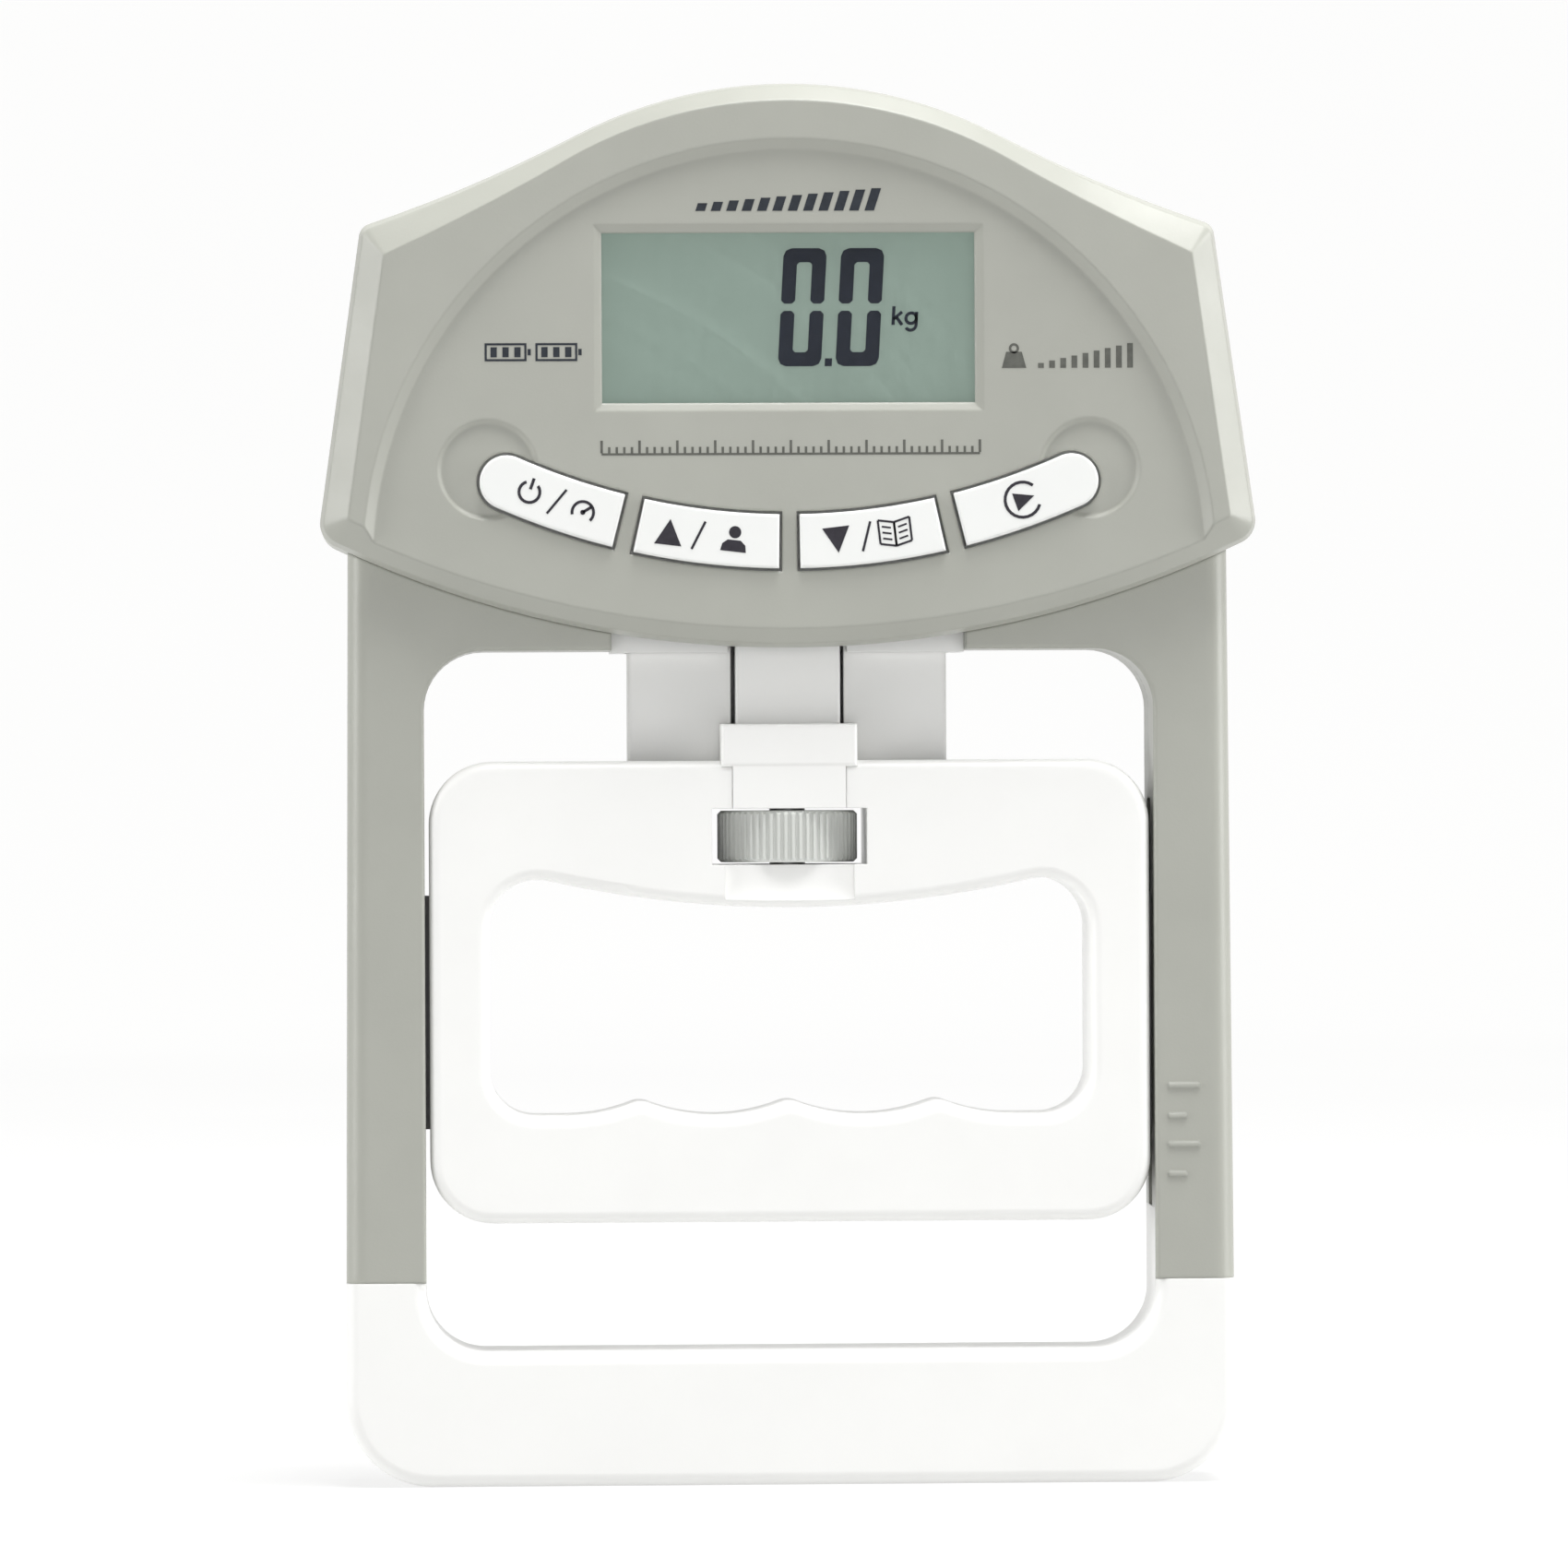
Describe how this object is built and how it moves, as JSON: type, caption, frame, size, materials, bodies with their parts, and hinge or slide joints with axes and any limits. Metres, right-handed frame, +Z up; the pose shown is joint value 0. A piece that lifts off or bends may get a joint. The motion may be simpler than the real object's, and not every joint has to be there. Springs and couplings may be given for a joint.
{
  "type": "hand dynamometer",
  "caption": "Electronic grip-strength meter: digital head on a U-shaped frame, sliding finger-grooved handle set by a thumbwheel.",
  "frame": {"origin": "centre of the flat underside of the outer grip, on the surface the instrument stands on", "axes": "+Z up along the handle travel, +X to the right seen from the front, the display faces -Y"},
  "size_m": [0.1302, 0.031, 0.195],
  "materials": {
    "gray_abs": "fine satin moulded",
    "white_abs": "semi-gloss moulded",
    "white_keys": "semi-gloss moulded",
    "gray_wheel": "knurled, moulded",
    "runner_acetal": "smooth acetal",
    "lens": "clear polished",
    "lcd": "grey-green reflective display",
    "zebra": "layered elastomer",
    "board": "green solder mask",
    "chip_black": "moulded epoxy",
    "strap_steel": "zinc plated",
    "screw_steel": "nickel plated",
    "cell_aluminium": "milled",
    "gauge_foil": "foil on film",
    "brass": "turned",
    "contact_metal": "nickel plated",
    "battery_skin": "plain printed sleeve",
    "wire": "PVC sleeve"
  },
  "bodies": {
    "frame": {"head_front_cover": "gray_abs", "head_rear_cover": "gray_abs", "left_leg_cover": "gray_abs", "right_leg_cover": "gray_abs", "grip_front_shell": "white_abs", "grip_rear_shell": "white_abs", "neck_guide": "white_abs", "lcd_window": "lens", "lcd_glass": "lcd", "zebra_strips": "zebra", "main_board": "board", "key_switches": "chip_black", "board_components": "chip_black", "controller_blob": "chip_black", "frame_strap": "strap_steel", "load_cell_screws": "screw_steel", "nut_screws": "screw_steel", "board_screws": "screw_steel", "head_screws": "screw_steel", "leg_screws": "screw_steel", "grip_screws": "screw_steel", "load_cell": "cell_aluminium", "strain_gauges": "gauge_foil", "nut_block": "brass", "contact_springs": "contact_metal", "contact_plates": "contact_metal", "lower_battery": "battery_skin", "upper_battery": "battery_skin", "battery_leads": "wire", "gauge_leads": "wire"},
    "handle": {"handle_front_shell": "white_abs", "handle_rear_shell": "white_abs", "handle_screws": "screw_steel", "stem_sleeve": "white_abs", "neck_tongue": "white_abs", "left_runner": "runner_acetal", "right_runner": "runner_acetal", "upper_bush": "brass", "lower_bush": "brass"},
    "spindle": {"thumbwheel": "gray_wheel", "spindle": "strap_steel", "wheel_pin": "strap_steel"},
    "battery_door": {"battery_cover": "gray_abs"},
    "power_key": {"power_key": "white_keys"},
    "up_key": {"up_key": "white_keys"},
    "down_key": {"down_key": "white_keys"},
    "start_key": {"start_key": "white_keys"}
  },
  "joints": [
    {"name": "handle_slide", "type": "slide", "parent": "frame", "child": "handle", "axis": [0, 0, 1], "range_m": [-0.011, 0.0097]},
    {"name": "spindle_turn", "type": "hinge", "parent": "handle", "child": "spindle", "pos_m": [0, 0, 0.0903], "axis": [0, 0, 1], "range_deg": [-1982, 1748]},
    {"name": "battery_door_tilt", "type": "hinge", "parent": "frame", "child": "battery_door", "pos_m": [0, 0.0148, 0.1606], "axis": [-1, 0, 0], "range_deg": [0, 75]},
    {"name": "power_key_press", "type": "slide", "parent": "frame", "child": "power_key", "axis": [0, 1, 0], "range_m": [0, 0.0006], "stiffness_N_per_m": 1500},
    {"name": "up_key_press", "type": "slide", "parent": "frame", "child": "up_key", "axis": [0, 1, 0], "range_m": [0, 0.0006], "stiffness_N_per_m": 1500},
    {"name": "down_key_press", "type": "slide", "parent": "frame", "child": "down_key", "axis": [0, 1, 0], "range_m": [0, 0.0006], "stiffness_N_per_m": 1500},
    {"name": "start_key_press", "type": "slide", "parent": "frame", "child": "start_key", "axis": [0, 1, 0], "range_m": [0, 0.0006], "stiffness_N_per_m": 1500}
  ],
  "couplings": [
    {"joint": "spindle_turn", "follows": "handle_slide", "rad_per_m": 3141.6}
  ]
}
